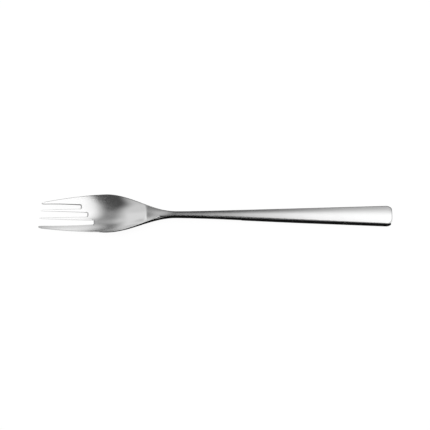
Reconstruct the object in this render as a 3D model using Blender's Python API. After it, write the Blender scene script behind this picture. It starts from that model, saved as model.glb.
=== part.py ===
"""Fish fork with a hollow handle, lying on a table: tips towards -X, end of the handle towards +X.

The fork is a forged head with a tang, two pressed half shells that make the handle, and a cement
core that fills the handle and holds the tang. The origin is on the table, under the middle.
"""

import math

import bmesh
import bpy

# Overall sizes, in metres
OVERALL_LENGTH = 0.1900  # longest tip to the end of the handle
HEAD_LENGTH = 0.0738  # longest tip to the narrowest point of the neck
HEAD_WIDTH = 0.0224
WIDEST_FROM_TIP = 0.0362
HANDLE_LENGTH = 0.0810  # mouth of the hollow handle to its end

# Tines, far side first, and the slots between them
TINE_1_TIP_WIDTH = 0.0007
TINE_2_TIP_WIDTH = 0.0006
TINE_3_TIP_WIDTH = 0.0007
TINE_4_TIP_WIDTH = 0.0016
TINE_1_ROOT_WIDTH = 0.0048
TINE_2_ROOT_WIDTH = 0.0022
TINE_3_ROOT_WIDTH = 0.0021
TINE_4_ROOT_WIDTH = 0.0051
TIP_STEP = 0.0005  # each tine ends this much beyond its far neighbour
TIP_NOSE = 0.0025  # length of the rounded point
TIP_BLUNT = 0.0001  # the point stops this much short of a sharp end
SLOT_END_FROM_TIP = 0.0259  # middle slot
SLOT_STEP = 0.0035  # each slot ends this much farther in than its far neighbour
SLOT_GROWTH = 0.0005  # each slot is this much wider than its far neighbour
SLOT_CORNER = 0.0005
FAR_SWEEP = 0.0054  # how far the outline draws in towards the tips
NEAR_SWEEP = 0.0021

# Side profile of the head
BOWL_FROM_TIP = 0.0390  # lowest point of the bowl
BOWL_THICKNESS = 0.0012
BOWL_DEPTH = 0.0036  # rim above the middle of the bowl
BOWL_EASE = 0.0025  # length over which the hollow starts to flatten towards the tips
BOWL_END_FROM_TIP = 0.0572  # soft crease where the bowl ends and the neck begins
CREASE_DEPTH = 0.0001
LEAD_RISE = 0.00082  # rise from the crease to the neck
RIM_THICKNESS = 0.0012
TIP_TOP = 0.00405  # height of the tips above the table
TIP_DEPTH = 0.0006  # dish left at the tips
TIP_THICKNESS = 0.0008

# Neck and handle
NECK_WIDTH = 0.0027
NECK_THICKNESS = 0.0036
NECK_RISE = 0.0011  # underside of the neck above the table
NECK_CROWN = 0.0001
NECK_EASE = 0.0094  # length over which the neck turns into the handle's taper
BUTT_WIDTH = 0.0109
BUTT_THICKNESS = 0.0045
BUTT_CROWN = 0.0005
BUTT_CORNER_LENGTH = 0.0036
BUTT_CORNER_WIDTH = 0.0026
REST_LENGTH = 0.0470  # flat land under the end of the handle
EDGE_BREAK = 0.0002  # broken edge round the head and along the handle

# Inside of the handle
SHELL_WALL = 0.0006
END_WALL = 0.0008
TANG_LENGTH = 0.0320
TANG_WIDTH = 0.0022
TANG_THICKNESS = 0.0018
TANG_END_WIDTH = 0.0014
CORE_SETBACK = 0.0010  # core starts this far inside the mouth
JOINT_GAP = 0.00005  # brazed joints
CORE_GAP = 0.00005  # cement to steel

TIP_X = -OVERALL_LENGTH / 2
BUTT_X = OVERALL_LENGTH / 2
NECK_X = TIP_X + HEAD_LENGTH
WIDEST_X = TIP_X + WIDEST_FROM_TIP
BOWL_X = TIP_X + BOWL_FROM_TIP
BOWL_END_X = TIP_X + BOWL_END_FROM_TIP
MOUTH_X = BUTT_X - HANDLE_LENGTH
REST_X = BUTT_X - REST_LENGTH
NECK_TOP = NECK_RISE + NECK_THICKNESS

TINE_WIDTHS = (
    (TINE_1_TIP_WIDTH, TINE_1_ROOT_WIDTH),
    (TINE_2_TIP_WIDTH, TINE_2_ROOT_WIDTH),
    (TINE_3_TIP_WIDTH, TINE_3_ROOT_WIDTH),
    (TINE_4_TIP_WIDTH, TINE_4_ROOT_WIDTH),
)
SWEEP_POWER = 1.6
PROFILE_POWER = 1.76
SCOOP_POWER = 2.57
LEAD_BEND = 0.85
DISH_POWER = 2.57
LAST_TINE = len(TINE_WIDTHS) - 1


def mix(a, b, t):
    return a + (b - a) * t


def ease(t):
    """0 to 1 with level ends."""
    t = min(max(t, 0.0), 1.0)
    return (1.0 - math.cos(math.pi * t)) / 2.0


def soft_start(length, rounding):
    """A length that starts level and soon grows evenly."""
    return math.hypot(max(length, 0.0), rounding) - rounding


def along_handle(neck, butt, x):
    share = soft_start(x - NECK_X, NECK_EASE) / soft_start(BUTT_X - NECK_X, NECK_EASE)
    return mix(neck, butt, share)


def outline(x, sweep):
    """Half width of the fork in plan, on the side whose outline draws in by sweep at the tips."""
    if x < WIDEST_X:
        back = (WIDEST_X - x) / WIDEST_FROM_TIP
        return HEAD_WIDTH / 2 - sweep * back**SWEEP_POWER
    if x < NECK_X:
        return mix(HEAD_WIDTH, NECK_WIDTH, ease((x - WIDEST_X) / (NECK_X - WIDEST_X))) / 2
    half = along_handle(NECK_WIDTH, BUTT_WIDTH, x) / 2
    into = (x - (BUTT_X - BUTT_CORNER_LENGTH)) / BUTT_CORNER_LENGTH
    if into > 0:
        half -= BUTT_CORNER_WIDTH * (1.0 - math.sqrt(max(1.0 - into**2, 0.0)))
    return half


def head_blend(x, tip, bowl, neck):
    """A thickness that runs from the tips through the bowl to the neck."""
    if x < BOWL_X:
        return mix(bowl, tip, (BOWL_X - x) / BOWL_FROM_TIP)
    return mix(bowl, neck, ease((x - BOWL_X) / (NECK_X - BOWL_X)))


def top_height(x):
    """Top surface along the middle: tines, scooped bowl, soft crease, level neck and handle."""
    if x < BOWL_X:
        return mix(BOWL_THICKNESS, TIP_TOP, ((BOWL_X - x) / BOWL_FROM_TIP) ** PROFILE_POWER)
    if x < NECK_X:
        into = (x - BOWL_X) / (BOWL_END_X - BOWL_X)
        scoop = mix(BOWL_THICKNESS, NECK_TOP - LEAD_RISE, into**SCOOP_POWER)
        left = (NECK_X - x) / (NECK_X - BOWL_END_X)
        lead = NECK_TOP - LEAD_RISE * mix(left, ease(left), LEAD_BEND)
        return (scoop + lead - math.hypot(scoop - lead, CREASE_DEPTH)) / 2
    return along_handle(NECK_TOP, BUTT_THICKNESS, x)


def dish(x):
    """Height of the edges above the middle: a hollow in the head, a crown on the handle."""
    if x < BOWL_X:
        reach = soft_start(BOWL_X - x, BOWL_EASE) / soft_start(BOWL_FROM_TIP, BOWL_EASE)
        return mix(BOWL_DEPTH, TIP_DEPTH, reach)
    if x < NECK_X:
        share = ease((x - BOWL_X) / (NECK_X - BOWL_X))
        return mix(BOWL_THICKNESS + BOWL_DEPTH, NECK_TOP - NECK_CROWN, share) - top_height(x)
    return -along_handle(NECK_CROWN, BUTT_CROWN, x)


def under_height(x):
    """Underside at the middle."""
    if x < NECK_X:
        return max(top_height(x) - head_blend(x, TIP_THICKNESS, BOWL_THICKNESS, NECK_THICKNESS), 0.0)
    return NECK_RISE * (1.0 - ease((x - NECK_X) / (REST_X - NECK_X)))


def under_dish(x):
    """Height of the underside's edges above its middle."""
    if x >= NECK_X:
        return 0.0
    edge = head_blend(x, TIP_THICKNESS, RIM_THICKNESS, NECK_THICKNESS - NECK_CROWN)
    return top_height(x) + dish(x) - edge - under_height(x)


def section_power(x):
    """How flat the middle of the hollow is across the head."""
    return mix(DISH_POWER, 2.0, ease((x - BOWL_X) / (NECK_X - BOWL_X)))


def across(x, y):
    """Place across the fork without its sign: 0 in the middle, 1 at the edges."""
    far = outline(x, FAR_SWEEP)
    near = -outline(x, NEAR_SWEEP)
    return abs(2 * y - far - near) / (far - near)


def top_at(x, y):
    return top_height(x) + dish(x) * across(x, y) ** section_power(x)


def under_at(x, y):
    return under_height(x) + under_dish(x) * across(x, y) ** section_power(x)


def seam_height(x):
    """Straight seam between the shells, at mid height at both ends of the handle."""
    mouth = (top_height(MOUTH_X) + under_height(MOUTH_X)) / 2
    butt = (top_height(BUTT_X) + under_height(BUTT_X)) / 2
    return mix(mouth, butt, (x - MOUTH_X) / HANDLE_LENGTH)


def tang_width(x):
    return mix(TANG_WIDTH, TANG_END_WIDTH, (x - MOUTH_X) / TANG_LENGTH)


def slot_end(slot):
    """Inner end of a slot; the slots beyond the outer two carry the slanted line to the outline."""
    return TIP_X + SLOT_END_FROM_TIP + (slot - 1) * SLOT_STEP


def tine_edges(x):
    """Far and near edges of the four tines at x, with the slots sharing what the tines leave."""
    share = (x - TIP_X) / SLOT_END_FROM_TIP
    widths = [mix(tip, root, share) for tip, root in TINE_WIDTHS]
    far = outline(x, FAR_SWEEP)
    slot = (far + outline(x, NEAR_SWEEP) - sum(widths)) / LAST_TINE
    edges = []
    for tine, width in enumerate(widths):
        edges.append((far, far - width))
        far -= width + slot + (tine - 1) * SLOT_GROWTH
    return edges


def tine_side(tine, side, row):
    """Point in plan on one edge of a tine; row is (kind, value) counted from the tip."""
    tip = TIP_X + (LAST_TINE - tine) * TIP_STEP
    end = slot_end(tine - 1 + side)
    kind, value = row
    bay = end - SLOT_CORNER
    if kind == "nose":
        x = tip + TIP_NOSE * value
    elif kind == "shank":
        x = mix(tip + TIP_NOSE, bay, value)
    else:
        x = end - SLOT_CORNER * value
    far, near = tine_edges(x)[tine]
    middle = (far + near) / 2
    y = near if side else far
    if kind == "nose":
        short = TIP_NOSE * (1.0 - value) / (TIP_NOSE + TIP_BLUNT)
        y = mix(middle, y, math.sqrt(1.0 - short**2))
    outer = tine - 1 + side in (-1, LAST_TINE)
    if kind == "corner" and not outer:
        turn = SLOT_CORNER * (1.0 - math.sqrt(1.0 - (1.0 - value) ** 2))
        y += -turn if side else turn
    return x, y


def tine_row(tine, row):
    """Five points across a tine in plan: edge, broken edge, middle, broken edge, edge."""
    far = tine_side(tine, 0, row)
    near = tine_side(tine, 1, row)
    broken = min(EDGE_BREAK / math.dist(far, near), 0.3)
    return [
        (mix(far[0], near[0], t), mix(far[1], near[1], t))
        for t in (0.0, broken, 0.5, 1.0 - broken, 1.0)
    ]


def surface_points(plan, edge, edges):
    """Top and underside points over a row in plan; the places listed in edges lie on an edge."""
    top = []
    under = []
    for place, (x, y) in enumerate(plan):
        high = top_at(x, y)
        low = under_at(x, y)
        drop = min(edge, (high - low) * 0.3) if place in edges else 0.0
        top.append((x, y, high - drop))
        under.append((x, y, low + drop))
    return top, under


def new_object(name, mesh, collection, parent, material):
    work = bmesh.new()
    work.from_mesh(mesh)
    bmesh.ops.recalc_face_normals(work, faces=work.faces)
    work.to_mesh(mesh)
    work.free()
    mesh.shade_smooth()
    mesh.set_sharp_from_angle(angle=math.radians(30))
    mesh.materials.append(material)
    made = bpy.data.objects.new(name, mesh)
    made.parent = parent
    collection.objects.link(made)
    return made


def loft(name, rings):
    """Mesh through closed rings of equal count, with both ends capped."""
    count = len(rings[0])
    points = [point for ring in rings for point in ring]
    faces = [tuple(range(count)), tuple(range(len(points) - count, len(points)))]
    for start in range(0, len(points) - count, count):
        for i in range(count):
            j = (i + 1) % count
            faces.append((start + i, start + j, start + count + j, start + count + i))
    mesh = bpy.data.meshes.new(name)
    mesh.from_pydata(points, [], faces)
    return mesh


def head_mesh(name):
    """Four tine strips that join behind the slots, then run on as one ring to the end of the tang."""
    nose_rows = [("nose", 1.0 - math.cos(math.radians(a))) for a in (0, 25, 45, 65)]
    shank_rows = [("shank", i / 8) for i in range(9)]
    corner_rows = [("corner", 1.0 - math.sin(math.radians(a))) for a in (30, 60)]
    root_row = ("corner", 0.0)
    points = []
    faces = []

    def keep(new_points):
        start = len(points)
        points.extend(new_points)
        return list(range(start, start + len(new_points)))

    # The row where the strips join: the tines' last points, with one point between across each slot end.
    plan = []
    strips = []
    for tine in range(LAST_TINE + 1):
        row = tine_row(tine, root_row)
        if tine:
            before = plan[-1]
            plan.append(((before[0] + row[0][0]) / 2, (before[1] + row[0][1]) / 2))
        strips.append((len(plan), len(plan) + len(row)))
        plan.extend(row)
    rims = {0, len(plan) - 1}
    slot_edges = set()
    for (_, stop), (start, _) in zip(strips, strips[1:]):
        slot_edges |= set(range(stop - 1, start + 1))
    top, under = surface_points(plan, EDGE_BREAK, rims | slot_edges)
    join_top = keep(top)
    join_under = keep(under)
    for (_, stop), (start, _) in zip(strips, strips[1:]):
        for i in range(stop - 1, start):
            faces.append((join_top[i], join_top[i + 1], join_under[i + 1], join_under[i]))

    def strip_faces(top_a, under_a, top_b, under_b):
        for i in range(len(top_a) - 1):
            faces.append((top_a[i], top_a[i + 1], top_b[i + 1], top_b[i]))
            faces.append((under_a[i], under_b[i], under_b[i + 1], under_a[i + 1]))
        for i in (0, -1):
            faces.append((top_a[i], top_b[i], under_b[i], under_a[i]))

    for tine, (start, stop) in enumerate(strips):
        last = None
        for row in nose_rows + shank_rows + corner_rows:
            flat = tine_row(tine, row)
            top, under = surface_points(flat, EDGE_BREAK, {0, len(flat) - 1})
            rows = keep(top), keep(under)
            if last is None:
                faces.append(tuple(rows[0] + rows[1][::-1]))
            else:
                strip_faces(*last, *rows)
            last = rows
        strip_faces(*last, join_top[start:stop], join_under[start:stop])

    # Behind the slots each point keeps its share of the width as far as the mouth of the handle.
    shares = []
    for x, y in plan[1:-1]:
        far = outline(x, FAR_SWEEP) - EDGE_BREAK
        near = -outline(x, NEAR_SWEEP) + EDGE_BREAK
        shares.append((far - y) / (far - near))
    inset = [EDGE_BREAK + x for x, _ in plan]
    palm = [inset]
    steps = 30
    for i in range(1, steps + 1):
        palm.append([mix(x, NECK_X, (i / steps) ** 1.15) for x in inset])
    for i in range(1, 9):
        palm.append([mix(NECK_X, MOUTH_X, i / 8)] * len(plan))
    last = join_top, join_under
    for xs in palm:
        flat = [(xs[0], outline(xs[0], FAR_SWEEP))]
        for x, share in zip(xs[1:-1], shares):
            far = outline(x, FAR_SWEEP) - EDGE_BREAK
            near = -outline(x, NEAR_SWEEP) + EDGE_BREAK
            flat.append((x, mix(far, near, share)))
        flat.append((xs[-1], -outline(xs[-1], NEAR_SWEEP)))
        top, under = surface_points(flat, EDGE_BREAK, rims)
        rows = keep(top), keep(under)
        strip_faces(*last, *rows)
        last = rows

    # The tang: a shoulder at the mouth, then a bar that tapers to its end.
    mouth_width = 2 * outline(MOUTH_X, FAR_SWEEP)
    for x in (MOUTH_X, MOUTH_X + TANG_LENGTH):
        level = seam_height(x)
        ys = [y * tang_width(x) / mouth_width for _, y in flat]
        rows = (
            keep([(x, y, level + TANG_THICKNESS / 2) for y in ys]),
            keep([(x, y, level - TANG_THICKNESS / 2) for y in ys]),
        )
        strip_faces(*last, *rows)
        last = rows
    faces.append(tuple(last[0] + last[1][::-1]))
    mesh = bpy.data.meshes.new(name)
    mesh.from_pydata(points, [], faces)
    return mesh


def box_arcs(x, half, high, low, crown, seam, gap, edge):
    """Upper and lower halves of a box section with broken edges, each from the far seam to the near one."""
    flat = half - edge
    upper = [(x, half, seam + gap), (x, half, high - crown - edge)]
    for i in range(7):
        y = mix(flat, -flat, i / 6)
        upper.append((x, y, high - crown * (y / half) ** 2))
    upper += [(x, -half, high - crown - edge), (x, -half, seam + gap)]
    lower = [(x, half, seam - gap), (x, half, low + edge)]
    for i in range(3):
        lower.append((x, mix(flat, -flat, i / 2), low))
    lower += [(x, -half, low + edge), (x, -half, seam - gap)]
    return upper, lower


def handle_arcs(x, inset, gap):
    """The handle's section at x, drawn in by inset, as an upper and a lower half."""
    half = outline(x, FAR_SWEEP) - inset
    high = top_height(x) - inset
    low = under_height(x) + inset
    return box_arcs(x, half, high, low, -dish(x), seam_height(x), gap, EDGE_BREAK)


def tang_arcs(x, inset):
    """The tang's section at x, drawn in by inset."""
    half = tang_width(x) / 2 - inset
    level = seam_height(x)
    high = level + TANG_THICKNESS / 2 - inset
    low = level - TANG_THICKNESS / 2 + inset
    return box_arcs(x, half, high, low, 0.0, level, 0.0, CORE_GAP)


def stations(first, last):
    """Places along the handle, closer together round the corners of its end."""
    corner = BUTT_X - BUTT_CORNER_LENGTH
    xs = [mix(MOUTH_X, corner, i / 14) for i in range(15)]
    xs += [corner + BUTT_CORNER_LENGTH * math.sin(math.radians(a)) for a in (25, 45, 62, 77)]
    return [first] + [x for x in xs if first < x < last] + [last]


def shell_mesh(name, half):
    """One pressed half of the handle: open along the seam and at the mouth, closed at the end."""
    inside = BUTT_X - END_WALL
    rings = []
    for x in stations(MOUTH_X + JOINT_GAP, inside):
        outer = handle_arcs(x, 0.0, JOINT_GAP / 2)[half]
        inner = handle_arcs(x, SHELL_WALL, JOINT_GAP / 2)[half]
        rings.append(outer + inner[::-1])
    # From the cavity's end wall on, the section is solid down to the seam.
    ends = stations(inside, BUTT_X)[1:]
    for x, seam_x in zip(ends, [inside] + ends[1:]):
        outer = handle_arcs(x, EDGE_BREAK if x == BUTT_X else 0.0, JOINT_GAP / 2)[half]
        _, reach, level = handle_arcs(seam_x, SHELL_WALL, JOINT_GAP / 2)[half][0]
        last = len(outer) - 1
        rings.append(outer + [(seam_x, 0.9 * mix(-reach, reach, i / last), level) for i in range(last + 1)])
    return loft(name, rings)


def core_mesh(name):
    """The filling: a bar that fits the inside of the shells, with a blind hole round the tang."""
    front = MOUTH_X + CORE_SETBACK
    hole_end = MOUTH_X + TANG_LENGTH + CORE_GAP

    def ring(arcs):
        upper, lower = arcs
        return upper + lower[-2:0:-1]

    rings = [ring(tang_arcs(hole_end, -CORE_GAP)), ring(tang_arcs(front, -CORE_GAP))]
    for x in stations(front, BUTT_X - END_WALL - CORE_GAP):
        rings.append(ring(handle_arcs(x, SHELL_WALL + CORE_GAP, 0.0)))
    return loft(name, rings)


def steel(name, colour, roughness):
    made = bpy.data.materials.new(name)
    made.use_nodes = True
    shader = made.node_tree.nodes["Principled BSDF"]
    shader.inputs["Base Color"].default_value = (*colour, 1.0)
    shader.inputs["Metallic"].default_value = 1.0
    shader.inputs["Roughness"].default_value = roughness
    return made


def main():
    for old in list(bpy.data.objects):
        bpy.data.objects.remove(old, do_unlink=True)
    collection = bpy.data.collections.new("fish_fork")
    bpy.context.scene.collection.children.link(collection)
    fork = bpy.data.objects.new("fish_fork_frame", None)
    collection.objects.link(fork)

    head_steel = steel("head_steel", (0.78, 0.78, 0.78), 0.18)
    upper_steel = steel("upper_shell_steel", (0.79, 0.79, 0.79), 0.17)
    lower_steel = steel("lower_shell_steel", (0.77, 0.77, 0.77), 0.17)
    cement = steel("core_cement", (0.45, 0.42, 0.38), 0.90)
    cement.node_tree.nodes["Principled BSDF"].inputs["Metallic"].default_value = 0.0

    new_object("fork_head", head_mesh("fork_head"), collection, fork, head_steel)
    new_object("handle_upper_shell", shell_mesh("handle_upper_shell", 0), collection, fork, upper_steel)
    new_object("handle_lower_shell", shell_mesh("handle_lower_shell", 1), collection, fork, lower_steel)
    new_object("handle_filler", core_mesh("handle_filler"), collection, fork, cement)


main()
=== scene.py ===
"""Satin steel fish fork lying on a pale table, under soft boxes with a dark gap between them.

The head and both handle halves are fine skins in place of the solids; the cement core stays as the solid.
"""

import math

import bmesh
import bpy
from mathutils import Matrix, Vector


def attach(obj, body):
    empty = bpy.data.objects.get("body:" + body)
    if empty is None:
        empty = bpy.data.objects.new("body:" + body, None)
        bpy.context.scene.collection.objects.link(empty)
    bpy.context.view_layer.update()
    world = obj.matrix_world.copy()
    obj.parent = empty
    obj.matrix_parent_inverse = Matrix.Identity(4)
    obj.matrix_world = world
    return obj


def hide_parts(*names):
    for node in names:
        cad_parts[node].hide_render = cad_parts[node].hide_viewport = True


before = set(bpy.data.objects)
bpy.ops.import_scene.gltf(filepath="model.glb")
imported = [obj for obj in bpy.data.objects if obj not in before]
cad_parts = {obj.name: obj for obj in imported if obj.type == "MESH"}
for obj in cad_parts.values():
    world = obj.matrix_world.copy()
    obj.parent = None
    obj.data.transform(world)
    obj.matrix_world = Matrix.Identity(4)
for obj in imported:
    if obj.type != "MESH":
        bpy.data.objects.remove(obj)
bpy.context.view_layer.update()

# Sizes of the fork, in metres, as in the solids
OVERALL_LENGTH = 0.1900
HEAD_LENGTH = 0.0738
HEAD_WIDTH = 0.0224
WIDEST_FROM_TIP = 0.0362
HANDLE_LENGTH = 0.0810
TINE_WIDTHS = ((0.0007, 0.0048), (0.0006, 0.0022), (0.0007, 0.0021), (0.0016, 0.0051))
TIP_STEP = 0.0005
TIP_NOSE = 0.0025
TIP_BLUNT = 0.0001
SLOT_END_FROM_TIP = 0.0259
SLOT_STEP = 0.0035
SLOT_GROWTH = 0.0005
SLOT_CORNER = 0.0005
FAR_SWEEP = 0.0054
NEAR_SWEEP = 0.0021
BOWL_FROM_TIP = 0.0390
BOWL_THICKNESS = 0.0012
BOWL_DEPTH = 0.0036
BOWL_EASE = 0.0025
BOWL_END_FROM_TIP = 0.0572
LEAD_RISE = 0.00082
RIM_THICKNESS = 0.0012
TIP_TOP = 0.00405
TIP_DEPTH = 0.0006
TIP_THICKNESS = 0.0008
NECK_WIDTH = 0.0027
NECK_THICKNESS = 0.0036
NECK_RISE = 0.0011
NECK_CROWN = 0.0001
NECK_EASE = 0.0094
BUTT_WIDTH = 0.0109
BUTT_THICKNESS = 0.0045
BUTT_CROWN = 0.0005
BUTT_CORNER_LENGTH = 0.0036
BUTT_CORNER_WIDTH = 0.0026
REST_LENGTH = 0.0470
SHELL_WALL = 0.0006
END_WALL = 0.0008
TANG_LENGTH = 0.0320
TANG_WIDTH = 0.0022
TANG_THICKNESS = 0.0018
TANG_END_WIDTH = 0.0014
SWEEP_POWER = 1.6
PROFILE_POWER = 1.76
SCOOP_POWER = 2.57
LEAD_BEND = 0.85
DISH_POWER = 2.57

# Finish that the solids leave out, in metres
CREASE_DEPTH = 0.0002  # a softer crease than the solids have
EDGE_ROUND = 0.0006
TINE_ROUND = 0.00036
NEAR_ROUND = 0.00014
SOLE_ROUND = 0.0002
SHOULDER_ROUND = 0.0013  # roll of the near edge where the palm runs into the neck
SHOULDER_REACH = 0.0060
SHOULDER_START = 0.0140  # before the narrowest point of the neck
SHOULDER_STOP = 0.0025
BRAZE_GAP = 0.000004
ROUND_OF_THICKNESS = 0.44  # most that an edge rounds, as a share of the thickness there
ROUND_OF_WIDTH = 0.45  # and as a share of half the width
BUTT_LEAD = 0.002  # straight run before the end's corners
SHARP_ANGLE = math.radians(40)

# How many rows and columns the skins have
EDGE_STEPS = 7
NOSE_ROWS = 9
SHANK_ROWS = 46
CORNER_ROWS = 3
TINE_COLUMNS = 9
END_POINTS = 4
PALM_ROWS = 100
NECK_ROWS = 40
HANDLE_ROWS = 90
CROWN_COLUMNS = 24
SOLE_COLUMNS = 8

TIP_X = -OVERALL_LENGTH / 2
BUTT_X = OVERALL_LENGTH / 2
NECK_X = TIP_X + HEAD_LENGTH
WIDEST_X = TIP_X + WIDEST_FROM_TIP
BOWL_X = TIP_X + BOWL_FROM_TIP
BOWL_END_X = TIP_X + BOWL_END_FROM_TIP
MOUTH_X = BUTT_X - HANDLE_LENGTH
REST_X = BUTT_X - REST_LENGTH
NECK_TOP = NECK_RISE + NECK_THICKNESS
LAST_TINE = len(TINE_WIDTHS) - 1
SHOULDER_X = NECK_X - SHOULDER_START
SHOULDER_END_X = NECK_X - SHOULDER_STOP


def mix(a, b, t):
    return a + (b - a) * t


def ease(t):
    """0 to 1 with level ends."""
    t = min(max(t, 0.0), 1.0)
    return (1.0 - math.cos(math.pi * t)) / 2.0


def soft_start(length, rounding):
    """A length that starts level and soon grows evenly."""
    return math.hypot(max(length, 0.0), rounding) - rounding


def along_handle(neck, butt, x):
    share = soft_start(x - NECK_X, NECK_EASE) / soft_start(BUTT_X - NECK_X, NECK_EASE)
    return mix(neck, butt, share)


def outline(x, sweep):
    """Half width in plan, on the side whose outline draws in by sweep at the tips."""
    if x < WIDEST_X:
        back = (WIDEST_X - x) / WIDEST_FROM_TIP
        return HEAD_WIDTH / 2 - sweep * back**SWEEP_POWER
    if x < NECK_X:
        return mix(HEAD_WIDTH, NECK_WIDTH, ease((x - WIDEST_X) / (NECK_X - WIDEST_X))) / 2
    half = along_handle(NECK_WIDTH, BUTT_WIDTH, x) / 2
    into = (x - (BUTT_X - BUTT_CORNER_LENGTH)) / BUTT_CORNER_LENGTH
    if into > 0:
        half -= BUTT_CORNER_WIDTH * (1.0 - math.sqrt(max(1.0 - into**2, 0.0)))
    return half


def head_blend(x, tip, bowl, neck):
    """A thickness that runs from the tips through the bowl to the neck."""
    if x < BOWL_X:
        return mix(bowl, tip, (BOWL_X - x) / BOWL_FROM_TIP)
    return mix(bowl, neck, ease((x - BOWL_X) / (NECK_X - BOWL_X)))


def top_height(x):
    """Top surface along the middle: tines, scooped bowl, soft crease, level neck and handle."""
    if x < BOWL_X:
        return mix(BOWL_THICKNESS, TIP_TOP, ((BOWL_X - x) / BOWL_FROM_TIP) ** PROFILE_POWER)
    if x < NECK_X:
        into = (x - BOWL_X) / (BOWL_END_X - BOWL_X)
        scoop = mix(BOWL_THICKNESS, NECK_TOP - LEAD_RISE, into**SCOOP_POWER)
        left = (NECK_X - x) / (NECK_X - BOWL_END_X)
        lead = NECK_TOP - LEAD_RISE * mix(left, ease(left), LEAD_BEND)
        return (scoop + lead - math.hypot(scoop - lead, CREASE_DEPTH)) / 2
    return along_handle(NECK_TOP, BUTT_THICKNESS, x)


def dish(x):
    """Height of the edges above the middle: a hollow in the head, a crown on the handle."""
    if x < BOWL_X:
        reach = soft_start(BOWL_X - x, BOWL_EASE) / soft_start(BOWL_FROM_TIP, BOWL_EASE)
        return mix(BOWL_DEPTH, TIP_DEPTH, reach)
    if x < NECK_X:
        share = ease((x - BOWL_X) / (NECK_X - BOWL_X))
        return mix(BOWL_THICKNESS + BOWL_DEPTH, NECK_TOP - NECK_CROWN, share) - top_height(x)
    return -along_handle(NECK_CROWN, BUTT_CROWN, x)


def under_height(x):
    if x < NECK_X:
        return max(top_height(x) - head_blend(x, TIP_THICKNESS, BOWL_THICKNESS, NECK_THICKNESS), 0.0)
    return NECK_RISE * (1.0 - ease((x - NECK_X) / (REST_X - NECK_X)))


def under_dish(x):
    if x >= NECK_X:
        return 0.0
    edge = head_blend(x, TIP_THICKNESS, RIM_THICKNESS, NECK_THICKNESS - NECK_CROWN)
    return top_height(x) + dish(x) - edge - under_height(x)


def section_power(x):
    return mix(DISH_POWER, 2.0, ease((x - BOWL_X) / (NECK_X - BOWL_X)))


def across(x, y):
    """Place across the fork without its sign: 0 in the middle, 1 at the edges."""
    far = outline(x, FAR_SWEEP)
    near = -outline(x, NEAR_SWEEP)
    return abs(2 * y - far - near) / (far - near)


def top_at(x, y):
    return top_height(x) + dish(x) * across(x, y) ** section_power(x)


def under_at(x, y):
    return under_height(x) + under_dish(x) * across(x, y) ** section_power(x)


def seam_height(x):
    mouth = (top_height(MOUTH_X) + under_height(MOUTH_X)) / 2
    butt = (top_height(BUTT_X) + under_height(BUTT_X)) / 2
    return mix(mouth, butt, (x - MOUTH_X) / HANDLE_LENGTH)


def slot_end(slot):
    return TIP_X + SLOT_END_FROM_TIP + (slot - 1) * SLOT_STEP


def tine_edges(x):
    """Far and near edges of the four tines at x."""
    share = (x - TIP_X) / SLOT_END_FROM_TIP
    widths = [mix(tip, root, share) for tip, root in TINE_WIDTHS]
    far = outline(x, FAR_SWEEP)
    slot = (far + outline(x, NEAR_SWEEP) - sum(widths)) / LAST_TINE
    edges = []
    for tine, width in enumerate(widths):
        edges.append((far, far - width))
        far -= width + slot + (tine - 1) * SLOT_GROWTH
    return edges


def tine_side(tine, side, row):
    """Point in plan on one edge of a tine; side 0 is the far edge; row is (kind, value) from the tip."""
    tip = TIP_X + (LAST_TINE - tine) * TIP_STEP
    slot = tine - 1 + side
    bay = slot_end(slot) - SLOT_CORNER
    kind, value = row
    if kind == "nose":
        x = tip + TIP_NOSE * value
    elif kind == "shank":
        x = mix(tip + TIP_NOSE, bay, value)
    else:
        x = bay + SLOT_CORNER * math.sin(value)
    edges = tine_edges(x)[tine]
    y = edges[side]
    if kind == "nose":
        short = TIP_NOSE * (1.0 - value) / (TIP_NOSE + TIP_BLUNT)
        y = mix(sum(edges) / 2, y, math.sqrt(1.0 - short**2))
    if kind == "corner" and 0 <= slot < LAST_TINE:
        turn = SLOT_CORNER * (1.0 - math.cos(value))
        y += -turn if side else turn
    return x, y


def tine_rows():
    rows = [("nose", 1.0 - math.cos(math.pi / 2 * i / NOSE_ROWS)) for i in range(NOSE_ROWS)]
    rows += [("shank", i / SHANK_ROWS) for i in range(SHANK_ROWS + 1)]
    return rows + [("corner", math.pi / 4 * i / CORNER_ROWS) for i in range(1, CORNER_ROWS + 1)]


def slot_bottom(slot):
    """Points across the end of a slot, between the middles of its two rounded corners."""
    turns = [math.pi / 4 * (1 + i / CORNER_ROWS) for i in range(1, CORNER_ROWS + 1)]
    far = [tine_side(slot, 1, ("corner", turn)) for turn in turns]
    near = [tine_side(slot + 1, 0, ("corner", turn)) for turn in turns[::-1]]
    start, stop = far[-1], near[0]
    flat = [
        (mix(start[0], stop[0], i / (END_POINTS + 1)), mix(start[1], stop[1], i / (END_POINTS + 1)))
        for i in range(1, END_POINTS + 1)
    ]
    return far + flat + near


class Outline:
    """The head's edge in plan, from the mouth of the handle round all the tines and back."""

    def __init__(self):
        self.points = []
        self.limits = []
        self.place = {}

    def add(self, key, point, limit):
        self.place[key] = len(self.points)
        self.points.append(Vector(point))
        self.limits.append(limit)

    def inward(self, i):
        here = self.points[i]
        step = Vector((0.0, 0.0))
        if i > 0:
            step += (here - self.points[i - 1]).normalized()
        if i + 1 < len(self.points):
            step += (self.points[i + 1] - here).normalized()
        step.normalize()
        return Vector((-step.y, step.x))


def rim_stations(root):
    """Places along a rim from the root of its tine to the mouth of the handle."""
    palm = [mix(root, NECK_X, i / PALM_ROWS) for i in range(1, PALM_ROWS + 1)]
    return palm + [mix(NECK_X, MOUTH_X, i / NECK_ROWS) for i in range(1, NECK_ROWS + 1)]


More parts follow.
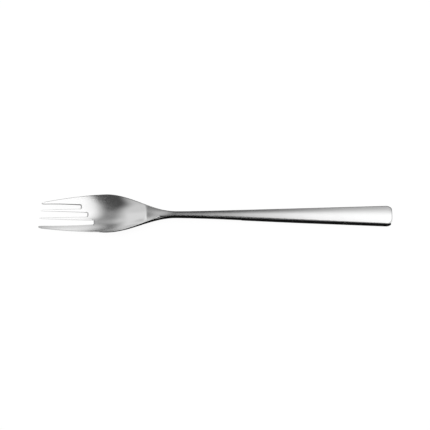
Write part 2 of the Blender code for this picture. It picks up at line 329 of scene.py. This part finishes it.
def head_outline(rows):
    edge = Outline()
    sides = [
        [[tine_side(tine, side, row) for row in rows] for side in (0, 1)]
        for tine in range(LAST_TINE + 1)
    ]
    last = len(rows) - 1
    far_rim = rim_stations(sides[0][0][last][0])
    near_rim = rim_stations(sides[LAST_TINE][1][last][0])
    for i in range(len(far_rim) - 1, -1, -1):
        half = outline(far_rim[i], FAR_SWEEP)
        edge.add(("rim", 0, i), (far_rim[i], half), half)
    for tine in range(LAST_TINE + 1):
        far, near = sides[tine]
        halves = [math.dist(a, b) / 2 for a, b in zip(far, near)]
        for i in range(last, -1, -1):
            edge.add((tine, 0, i), far[i], halves[i])
        for i in range(TINE_COLUMNS):
            t = (i + 1) / (TINE_COLUMNS + 1)
            tip = (mix(far[0][0], near[0][0], t), mix(far[0][1], near[0][1], t))
            edge.add((tine, "tip", i), tip, halves[0])
        for i in range(last + 1):
            limit = halves[i] if tine < LAST_TINE else near_limit(near[i][0], halves[i])
            edge.add((tine, 1, i), near[i], limit)
        if tine < LAST_TINE:
            for i, point in enumerate(slot_bottom(tine)):
                edge.add(("bottom", tine, i), point, TINE_ROUND * 3)
    for i, x in enumerate(near_rim):
        half = outline(x, NEAR_SWEEP)
        edge.add(("rim", 1, i), (x, -half), near_limit(x, half))
    return edge


def near_limit(x, half):
    """The near edge of the head is crisp and softens only along the neck."""
    crisp = min(half, NEAR_ROUND / ROUND_OF_WIDTH)
    return mix(crisp, half, ease((x - NECK_X) / (MOUTH_X - NECK_X)))


def shoulder_roll(x):
    """How far the near edge rolls off on top where the palm runs into the neck."""
    start = ease((x - SHOULDER_X) / SHOULDER_REACH)
    stop = ease((SHOULDER_END_X - x) / SHOULDER_REACH)
    return SHOULDER_ROUND * start * stop


def edge_radius(x, y, limit):
    """Rounding of an edge: fuller on the tines, never more than the thickness allows."""
    fade = ease((x - slot_end(1)) / (WIDEST_X - slot_end(1)))
    thick = top_at(x, y) - under_at(x, y)
    return min(mix(TINE_ROUND, EDGE_ROUND, fade), ROUND_OF_THICKNESS * thick, ROUND_OF_WIDTH * limit)


def head_mesh(name):
    """Forged head: tines, bowl and neck as one skin with rounded edges, then the tang inside the handle."""
    rows = tine_rows()
    last = len(rows) - 1
    edge = head_outline(rows)
    count = len(edge.points)
    inward = [edge.inward(i) for i in range(count)]
    under_radius = [edge_radius(p.x, p.y, limit) for p, limit in zip(edge.points, edge.limits)]
    top_radius = [
        max(r, shoulder_roll(p.x)) if p.y < 0 else r for p, r in zip(edge.points, under_radius)
    ]
    plan = [p + n * r for p, n, r in zip(edge.points, inward, top_radius)]
    quads = []

    def keep(point):
        plan.append(Vector(point))
        return len(plan) - 1

    def join(row_a, row_b):
        for i in range(len(row_a) - 1):
            quads.append((row_a[i], row_a[i + 1], row_b[i + 1], row_b[i]))

    join_row = []
    for tine in range(LAST_TINE + 1):
        before = None
        for i in range(last + 1):
            start, stop = edge.place[tine, 0, i], edge.place[tine, 1, i]
            if i == 0:
                inner = [edge.place[tine, "tip", c] for c in range(TINE_COLUMNS)]
            else:
                inner = [
                    keep(plan[start].lerp(plan[stop], (c + 1) / (TINE_COLUMNS + 1)))
                    for c in range(TINE_COLUMNS)
                ]
            row = [start] + inner + [stop]
            if before:
                join(before, row)
            before = row
        join_row += before
        if tine < LAST_TINE:
            join_row += [edge.place["bottom", tine, i] for i in range(2 * CORNER_ROWS + END_POINTS)]

    shares = []
    for i in join_row[1:-1]:
        far = outline(plan[i].x, FAR_SWEEP) - EDGE_ROUND
        near = -outline(plan[i].x, NEAR_SWEEP) + EDGE_ROUND
        shares.append((plan[i].x, (far - plan[i].y) / (far - near)))
    before = join_row
    for j in range(PALM_ROWS + NECK_ROWS):
        row = [edge.place["rim", 0, j]]
        for root, share in shares:
            x = rim_stations(root)[j]
            far = outline(x, FAR_SWEEP) - EDGE_ROUND
            near = -outline(x, NEAR_SWEEP) + max(EDGE_ROUND, shoulder_roll(x))
            row.append(keep((x, mix(far, near, share))))
        row.append(edge.place["rim", 1, j])
        join(before, row)
        before = row

    points = [(p.x, p.y, top_at(p.x, p.y)) for p in plan]
    points += [(p.x, p.y, under_at(p.x, p.y)) for p in plan]
    worn = [0.0] * len(points)
    under = len(plan)
    faces = quads + [tuple(i + under for i in quad[::-1]) for quad in quads]

    # Rounded edge: rings from the top skin out to the wall, and from the wall back to the underside.
    top_rings = [list(range(count))]
    under_rings = [[i + under for i in range(count)]]
    for step in range(1, EDGE_STEPS + 1):
        turn = math.pi / 2 * step / EDGE_STEPS
        for rings, surface, way, radius in (
            (top_rings, top_at, -1.0, top_radius), (under_rings, under_at, 1.0, under_radius),
        ):
            ring = []
            for p, n, r in zip(edge.points, inward, radius):
                q = p + n * (r * (1.0 - math.sin(turn)))
                ring.append(len(points))
                points.append((q.x, q.y, surface(q.x, q.y) + way * r * (1.0 - math.cos(turn))))
                worn.append(math.sin(turn))
            rings.append(ring)
    skin = top_rings + under_rings[::-1]
    for a, b in zip(skin, skin[1:]):
        for i in range(count - 1):
            faces.append((a[i], b[i], b[i + 1], a[i + 1]))

    # Shoulder and tang
    section = before + [ring[-1] for ring in skin[1:-1]] + [i + under for i in before[::-1]]
    section += [ring[0] for ring in skin[-2:0:-1]]
    level = seam_height(MOUTH_X)
    height = top_height(MOUTH_X) - under_height(MOUTH_X)
    width = 2 * outline(MOUTH_X, FAR_SWEEP)
    shape = [(points[i][1] / width, (points[i][2] - level) / height) for i in section]
    for x, tang_width in ((MOUTH_X, TANG_WIDTH), (MOUTH_X + TANG_LENGTH, TANG_END_WIDTH)):
        ring = list(range(len(points), len(points) + len(section)))
        points += [(x, y * tang_width, seam_height(x) + z * TANG_THICKNESS) for y, z in shape]
        worn += [0.0] * len(section)
        for i in range(len(section)):
            j = (i + 1) % len(section)
            faces.append((section[i], section[j], ring[j], ring[i]))
        section = ring
    faces.append(tuple(section))
    return skin_mesh(name, points, faces, worn)


def skin_mesh(name, points, faces, worn):
    mesh = bpy.data.meshes.new(name)
    mesh.from_pydata(points, [], faces)
    work = bmesh.new()
    work.from_mesh(mesh)
    bmesh.ops.recalc_face_normals(work, faces=work.faces)
    work.to_mesh(mesh)
    work.free()
    mesh.shade_smooth()
    mesh.set_sharp_from_angle(angle=SHARP_ANGLE)
    wear = mesh.attributes.new("worn_edge", "FLOAT", "POINT")
    wear.data.foreach_set("value", worn)
    return mesh


def butt_outline():
    """The handle's end in plan, as a fine line from its far side to its near side."""
    corner = BUTT_X - BUTT_CORNER_LENGTH
    xs = [corner - BUTT_LEAD * (1 - i / 8) for i in range(8)]
    xs += [corner + BUTT_CORNER_LENGTH * math.sin(math.pi / 2 * i / 24) for i in range(25)]
    far = [Vector((x, outline(x, FAR_SWEEP))) for x in xs]
    return far + [Vector((p.x, -p.y)) for p in far[::-1]]


BUTT_LINE = butt_outline()


def edge_distance(x, y):
    """Distance in plan from a point of the handle to its nearest edge."""
    near = outline(x, FAR_SWEEP) - abs(y)
    if x < BUTT_X - BUTT_CORNER_LENGTH - 2 * EDGE_ROUND:
        return max(near, 0.0)
    here = Vector((x, y))
    best = max(near, 0.0)
    for a, b in zip(BUTT_LINE, BUTT_LINE[1:]):
        run = b - a
        t = min(max((here - a).dot(run) / run.length_squared, 0.0), 1.0)
        best = min(best, (here - a - run * t).length)
    return best


def edge_drop(x, y, rounding):
    gap = rounding - min(edge_distance(x, y), rounding)
    return rounding - math.sqrt(max(rounding**2 - gap**2, 0.0))


def handle_stations():
    """Places along the handle, closest together round its end."""
    corner = BUTT_X - BUTT_CORNER_LENGTH
    xs = [mix(MOUTH_X + BRAZE_GAP, corner, i / HANDLE_ROWS) for i in range(HANDLE_ROWS)]
    xs += [corner + BUTT_CORNER_LENGTH * math.sin(math.pi / 2 * i / 16) for i in range(14)]
    for step in range(EDGE_STEPS + 1):
        xs.append(BUTT_X - EDGE_ROUND * (1.0 - math.sin(math.pi / 2 * step / EDGE_STEPS)))
    return sorted(set(xs))


def outer_arc(x, half, columns):
    """Outside of one half of the handle at x, from its far seam to its near seam, with edge wear."""
    wide = outline(x, FAR_SWEEP)
    rounding = SOLE_ROUND if half else EDGE_ROUND
    ys = []
    for step in range(EDGE_STEPS, -1, -1):
        turn = math.pi / 2 * step / EDGE_STEPS
        ys.append((wide - rounding * (1.0 - math.sin(turn)), math.sin(turn)))
    flat = wide - rounding
    ys += [(mix(flat, -flat, i / columns), 0.0) for i in range(1, columns)]
    ys += [(-y, wear) for y, wear in ys[EDGE_STEPS::-1]]
    arc = []
    for y, wear in ys:
        drop = edge_drop(x, y, rounding)
        z = under_height(x) + drop if half else top_at(x, y) - drop
        arc.append(((x, y, z), max(wear, drop / rounding)))
    seam = seam_height(x) + (-BRAZE_GAP if half else BRAZE_GAP)
    return [((x, wide, seam), 0.6)] + arc + [((x, -wide, seam), 0.6)]


def inner_arc(x, half):
    """Inside of one half of the handle at x, from its far seam to its near seam."""
    wide = outline(x, FAR_SWEEP) - SHELL_WALL
    seam = seam_height(x) + (-BRAZE_GAP if half else BRAZE_GAP)
    skin = under_height(x) + SHELL_WALL if half else top_height(x) + dish(x) - SHELL_WALL
    ends = [(x, wide, seam), (x, wide, mix(seam, skin, 0.9))]
    flat = [(x, mix(wide, -wide, i / 8) * 0.97, skin) for i in range(9)]
    return ends + flat + [(x, -y, z) for x, y, z in ends[::-1]]


def shell_mesh(name, half):
    """One pressed half of the handle, hollow behind its mouth and solid at its end."""
    columns = SOLE_COLUMNS if half else CROWN_COLUMNS
    inside = BUTT_X - END_WALL
    points, worn, rings = [], [], []
    for x in handle_stations():
        outer = outer_arc(x, half, columns)
        inner = inner_arc(min(x, inside), half)
        if x > inside:
            level = inner[0][2]
            reach = 0.9 * inner[0][1]
            steps = len(inner) - 1
            inner = [(x, mix(reach, -reach, i / steps), level) for i in range(len(inner))]
        start = len(points)
        points += [point for point, _ in outer] + inner[::-1]
        worn += [wear for _, wear in outer] + [0.0] * len(inner)
        rings.append(list(range(start, len(points))))
    faces = [tuple(rings[0]), tuple(rings[-1])]
    size = len(rings[0])
    for a, b in zip(rings, rings[1:]):
        faces += [(a[i], a[(i + 1) % size], b[(i + 1) % size], b[i]) for i in range(size)]
    return skin_mesh(name, points, faces, worn)


class Wire:
    """A shader socket that takes part in plain expressions; every operator adds its Math node."""

    def __init__(self, bench, socket):
        self.bench = bench
        self.socket = socket

    def math(self, operation, first, second):
        return self.bench.node("Math", {"operation": operation}, {0: first, 1: second})

    def __add__(self, other):
        return self.math("ADD", self, other)

    def __radd__(self, other):
        return self.math("ADD", other, self)

    def __sub__(self, other):
        return self.math("SUBTRACT", self, other)

    def __rsub__(self, other):
        return self.math("SUBTRACT", other, self)

    def __mul__(self, other):
        return self.math("MULTIPLY", self, other)

    def __rmul__(self, other):
        return self.math("MULTIPLY", other, self)

    def step(self, start, stop):
        """0 before start and 1 after stop, with a soft change between."""
        return self.bench.node(
            "MapRange",
            {"interpolation_type": "SMOOTHSTEP"},
            {"Value": self, "From Min": start, "From Max": stop},
        )


class Bench:
    """The node tree of one material or of the world."""

    def __init__(self, owner):
        owner.use_nodes = True
        self.tree = owner.node_tree
        self.tree.nodes.clear()

    def node(self, kind, settings=None, sockets=None, out=0):
        made = self.tree.nodes.new("ShaderNode" + kind)
        for key, value in (settings or {}).items():
            setattr(made, key, value)
        for key, value in (sockets or {}).items():
            if isinstance(value, Wire):
                self.tree.links.new(value.socket, made.inputs[key])
            else:
                made.inputs[key].default_value = value
        return Wire(self, made.outputs[out] if made.outputs else None)

    def split(self, vector):
        """The three numbers of a vector."""
        parts = self.node("SeparateXYZ", None, {0: vector}).socket.node
        return [Wire(self, socket) for socket in parts.outputs]

    def finish(self, shader, kind="OutputMaterial"):
        self.node(kind, None, {"Surface": shader})


def satin_steel(name, light, dark, roughness):
    """Steel with fine lengthwise brushing, faint hand marks and edges polished by use."""
    made = bpy.data.materials.new(name)
    bench = Bench(made)
    place = bench.node("TexCoord", out="Object")
    stretched = bench.node(
        "VectorMath", {"operation": "MULTIPLY"}, {0: place, 1: (70.0, 6500.0, 6500.0)}
    )
    lines = bench.node(
        "TexNoise", None, {"Vector": stretched, "Scale": 1.0, "Detail": 3.0, "Roughness": 0.6}
    )
    marks = bench.node(
        "TexNoise", None, {"Vector": place, "Scale": 90.0, "Detail": 4.0, "Roughness": 0.55}
    )
    worn = bench.node("Attribute", {"attribute_name": "worn_edge"}, out="Fac")
    tone = (lines - 0.5) * 0.7 + (marks - 0.5) * 0.3 + 0.5 + worn * 0.3
    colour = bench.node(
        "Mix", {"data_type": "RGBA"}, {0: tone, 6: (*dark, 1.0), 7: (*light, 1.0)}, out=2
    )
    gloss = roughness + (lines - 0.5) * 0.05 + (marks - 0.5) * 0.06 - worn * 0.04
    relief = bench.node("Bump", None, {"Strength": 0.03, "Distance": 0.00002, "Height": lines})
    shader = bench.node(
        "BsdfPrincipled",
        None,
        {"Base Color": colour, "Metallic": 1.0, "Roughness": gloss, "Normal": relief},
    )
    bench.finish(shader)
    return made


def cast_cement(name):
    """Pale resin cement with sandy grain and small pores."""
    made = bpy.data.materials.new(name)
    bench = Bench(made)
    place = bench.node("TexCoord", out="Object")
    grain = bench.node("TexNoise", None, {"Vector": place, "Scale": 2600.0, "Detail": 3.0})
    cloud = bench.node("TexNoise", None, {"Vector": place, "Scale": 240.0, "Detail": 2.0})
    pores = bench.node("TexVoronoi", None, {"Vector": place, "Scale": 1500.0})
    tone = grain * 0.5 + cloud * 0.5
    colour = bench.node(
        "Mix",
        {"data_type": "RGBA"},
        {0: tone, 6: (0.36, 0.33, 0.29, 1.0), 7: (0.54, 0.51, 0.47, 1.0)},
        out=2,
    )
    rough = grain * 0.4 + pores.step(0.0, 0.35)
    relief = bench.node("Bump", None, {"Strength": 0.4, "Distance": 0.00006, "Height": rough})
    shader = bench.node(
        "BsdfPrincipled",
        None,
        {"Base Color": colour, "Roughness": 0.82 + (cloud - 0.5) * 0.15, "Normal": relief},
    )
    bench.finish(shader)
    return made


def table_finish(name):
    """Pale table: white to the eye and in reflections, with the fork's soft shadow."""
    made = bpy.data.materials.new(name)
    bench = Bench(made)
    ray = bench.node("LightPath").socket.node
    seen = Wire(bench, ray.outputs["Is Camera Ray"]) + Wire(bench, ray.outputs["Is Glossy Ray"])
    seen = seen + Wire(bench, ray.outputs["Is Transmission Ray"])
    glow = bench.node("Emission", None, {"Color": (1.0, 1.0, 1.0, 1.0), "Strength": 0.93})
    dark = bench.node("Emission", None, {"Color": (0.0, 0.0, 0.0, 1.0), "Strength": 0.0})
    white = bench.node("MixShader", None, {0: seen, 1: dark, 2: glow})
    shade = bench.node("BsdfDiffuse", None, {"Color": (0.12, 0.12, 0.12, 1.0)})
    bench.finish(bench.node("AddShader", None, {0: white, 1: shade}))
    return made


def card_finish(name, tone):
    made = bpy.data.materials.new(name)
    bench = Bench(made)
    bench.finish(bench.node("BsdfDiffuse", None, {"Color": (tone, tone, tone, 1.0)}))
    return made


def sheet(name, points, faces, material):
    mesh = bpy.data.meshes.new(name)
    mesh.from_pydata(points, [], faces)
    mesh.materials.append(material)
    made = bpy.data.objects.new(name, mesh)
    bpy.context.scene.collection.objects.link(made)
    return made


CARD_LIFT = 0.00002  # cards on the table lie this far above it


def reflected_shade_card():
    """Painted shade: a near-black card under and just in front of the fork, seen only in reflections, so
    that the fork's near side and the slot edges show the table close round the fork as shaded.
    """
    plan = [
        (-0.105, 0.0022), (-0.0640, 0.0022), (-0.0540, -0.0112), (-0.0625, -0.0130),
        (-0.0625, -0.016), (0.0957, -0.016), (0.0957, -0.0046), (0.0940, -0.0040),
        (0.0940, 0.0), (-0.0600, 0.0), (-0.0615, 0.0105), (-0.105, 0.0105),
    ]
    return [(x, y, CARD_LIFT) for x, y in plan], [tuple(range(len(plan)))]


def panel(left, right, front, back, top=CARD_LIFT):
    """A card that lies flat, or stands when it has a top."""
    foot = CARD_LIFT
    points = [(left, front, foot), (right, front, foot), (right, back, top), (left, back, top)]
    return points, [(0, 1, 2, 3)]


def shoulder_card():
    """Small dark card that hovers in front of the shoulder."""
    height = 0.016
    plan = [(-0.034, -0.030), (-0.005, -0.030), (-0.005, -0.0032), (-0.034, -0.0016)]
    return [(x, y, height) for x, y in plan], [(0, 1, 2, 3)]


LAMP_CENTRE = (-0.0632, 0.0801, 0.0988)
LAMP_HALF_WIDTH = 0.0130
LAMP_HALF_LENGTH = 0.0565
LAMP_TILT = 0.713
LAMP_STRENGTH = 0.415


def head_lamp():
    """Small soft lamp over the head, tilted to face it."""
    x, y, z = LAMP_CENTRE
    run, fall = LAMP_HALF_LENGTH * math.cos(LAMP_TILT), LAMP_HALF_LENGTH * math.sin(LAMP_TILT)
    left, right = x - LAMP_HALF_WIDTH, x + LAMP_HALF_WIDTH
    points = [(left, y - run, z + fall), (right, y - run, z + fall)]
    points += [(right, y + run, z - fall), (left, y + run, z - fall)]
    return points, [(0, 1, 2, 3)]


def lamp_finish(name, strength):
    """A glow that is full in the middle of the lamp and fades out to its edges."""
    made = bpy.data.materials.new(name)
    bench = Bench(made)
    wide, long, _ = bench.split(bench.node("TexCoord", out="Generated"))
    full = (wide.step(0.0, 0.5) - wide.step(0.5, 1.0)) * (long.step(0.0, 0.5) - long.step(0.5, 1.0))
    clear = bench.node("BsdfTransparent")
    glow = bench.node("Emission", None, {"Color": (1.0, 1.0, 1.0, 1.0), "Strength": strength})
    lit = bench.node("AddShader", None, {0: clear, 1: glow})
    bench.finish(bench.node("MixShader", None, {0: full, 1: clear, 2: lit}))
    return made


def studio_light():
    """Two broad soft boxes overhead with a dark gap between them; plain white where the camera sees it."""
    world = bpy.data.worlds.new("studio")
    bpy.context.scene.world = world
    bench = Bench(world)
    side, back, up = bench.split(bench.node("TexCoord", out="Generated"))
    right_edge = side - 0.0179 - 0.0986 * back.step(0.382, 0.750) + 0.1527 * back.step(0.388, 0.971)
    right_level = 1.24 - 0.738 * back.step(0.394, 0.718) + 0.655 * back.step(0.624, 1.065)
    right_box = right_edge.step(-0.0187, 0.0187) * right_level * (1.0 - 0.4 * side.step(0.30, 0.60))
    left_edge = side + 0.1306 + 0.265 * (1.0 - back.step(-0.539, 0.329))
    left_box = (1.0 - left_edge.step(-0.1415, 0.1415)) * (0.65 + 0.189 * back.step(0.275, 0.480))
    gap = 0.0806 + 0.0372 * back.step(0.13, 0.30) - 0.147 * back.step(0.304, 0.573)
    gap = gap.math("MAXIMUM", gap, 0.01)
    wide = (side * side).step(0.06, 0.22)
    front = (1.0 - wide) * (1.0 - back.step(-0.97, -0.70))
    low = wide * (1.0 - up.step(0.35, 0.62))
    level = (gap + left_box + right_box) * (1.0 - 0.95 * front) * (1.0 - low) + low * 0.55
    haze = back.step(0.85, 0.95) * (1.0 - up.step(0.12, 0.28))
    haze = haze * side.step(-0.055, -0.02) * (1.0 - wide)
    level = level + haze * (1.1 - level)
    ray = bench.node("LightPath").socket.node
    seen = Wire(bench, ray.outputs["Is Camera Ray"])
    strength = level * (1.0 - seen) + seen
    glow = bench.node("Background", None, {"Color": (1.0, 1.0, 1.0, 1.0), "Strength": strength})
    bench.finish(glow, "OutputWorld")


CAMERA_DISTANCE = 1.34
CAMERA_ELEVATION = math.radians(65.0)
CAMERA_ROLL = math.radians(0.233)
FRAME_WIDTH = 0.2316  # width of table that the picture takes in
FRAME_CENTRE = (-0.00029, 0.00104)  # sideways and upwards in the picture
SENSOR_WIDTH = 36.0


def place_camera():
    lens = bpy.data.cameras.new("camera")
    lens.sensor_width = SENSOR_WIDTH
    lens.lens = SENSOR_WIDTH * CAMERA_DISTANCE / FRAME_WIDTH
    lens.clip_end = 50.0
    camera = bpy.data.objects.new("camera", lens)
    bpy.context.scene.collection.objects.link(camera)
    sine, cosine = math.sin(CAMERA_ELEVATION), math.cos(CAMERA_ELEVATION)
    right = Vector((1.0, 0.0, 0.0))
    upward = Vector((0.0, sine, cosine))
    back = Vector((0.0, -cosine, sine))
    where = right * FRAME_CENTRE[0] + upward * FRAME_CENTRE[1] + back * CAMERA_DISTANCE
    turn = Matrix((right, upward, back)).transposed().to_4x4()
    camera.matrix_world = Matrix.Translation(where) @ turn @ Matrix.Rotation(CAMERA_ROLL, 4, "Z")
    bpy.context.scene.camera = camera


def add_piece(name, mesh, material, node):
    mesh.materials.append(material)
    piece = bpy.data.objects.new(name, mesh)
    bpy.context.scene.collection.objects.link(piece)
    even = piece.modifiers.new("even_shading", "WEIGHTED_NORMAL")
    even.keep_sharp = True
    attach(piece, "root")
    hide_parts(node)
    return piece


def main():
    bpy.context.scene.view_settings.view_transform = "Standard"
    head_steel = satin_steel("head_satin_steel", (0.81, 0.81, 0.81), (0.75, 0.75, 0.75), 0.12)
    upper_steel = satin_steel("upper_shell_satin_steel", (0.82, 0.82, 0.82), (0.76, 0.76, 0.76), 0.12)
    lower_steel = satin_steel("lower_shell_satin_steel", (0.80, 0.80, 0.80), (0.74, 0.74, 0.74), 0.12)
    add_piece("forged_head", head_mesh("forged_head"), head_steel, "fork_head")
    add_piece(
        "upper_handle_half", shell_mesh("upper_handle_half", 0), upper_steel,
        "handle_upper_shell",
    )
    add_piece(
        "lower_handle_half", shell_mesh("lower_handle_half", 1), lower_steel,
        "handle_lower_shell",
    )
    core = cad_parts["handle_filler"]
    cement = cast_cement("handle_cement")
    for place in core.material_slots:
        place.material = cement

    square = [(-4.0, -4.0, 0.0), (4.0, -4.0, 0.0), (4.0, 4.0, 0.0), (-4.0, 4.0, 0.0)]
    sheet("table", square, [(0, 1, 2, 3)], table_finish("pale_table"))
    cards = [
        # painted shade in reflections: the near-black card stands in for the shaded table close round the
        # fork
        ("reflected_shade_card", reflected_shade_card(), 0.015),
        ("front_card", panel(-0.0625, 0.0957, -0.04, -0.016), 0.2),
        ("palm_far_card", panel(-0.050, -0.004, 0.0095, 0.035), 0.02),
        ("palm_back_card", panel(-0.0405, -0.004, 0.035, 0.035, 0.028), 0.04),
        ("far_card", panel(-0.004, 0.25, 0.0095, 0.035), 0.15),
        ("back_card", panel(-0.004, 0.25, 0.035, 0.035, 0.028), 0.3),
        ("tine_far_card", panel(-0.11, -0.076, 0.0095, 0.016), 0.12),
        ("tine_back_card", panel(-0.11, -0.076, 0.016, 0.016, 0.0055), 0.12),
        ("shoulder_card", shoulder_card(), 0.03),
    ]
    stands = [sheet(name, *form, card_finish(name, tone)) for name, form, tone in cards]
    stands.append(sheet("head_lamp", *head_lamp(), lamp_finish("head_lamp", LAMP_STRENGTH)))
    for stand in stands:
        stand.visible_camera = False
        stand.visible_diffuse = False
        stand.visible_shadow = False
    studio_light()
    place_camera()


main()
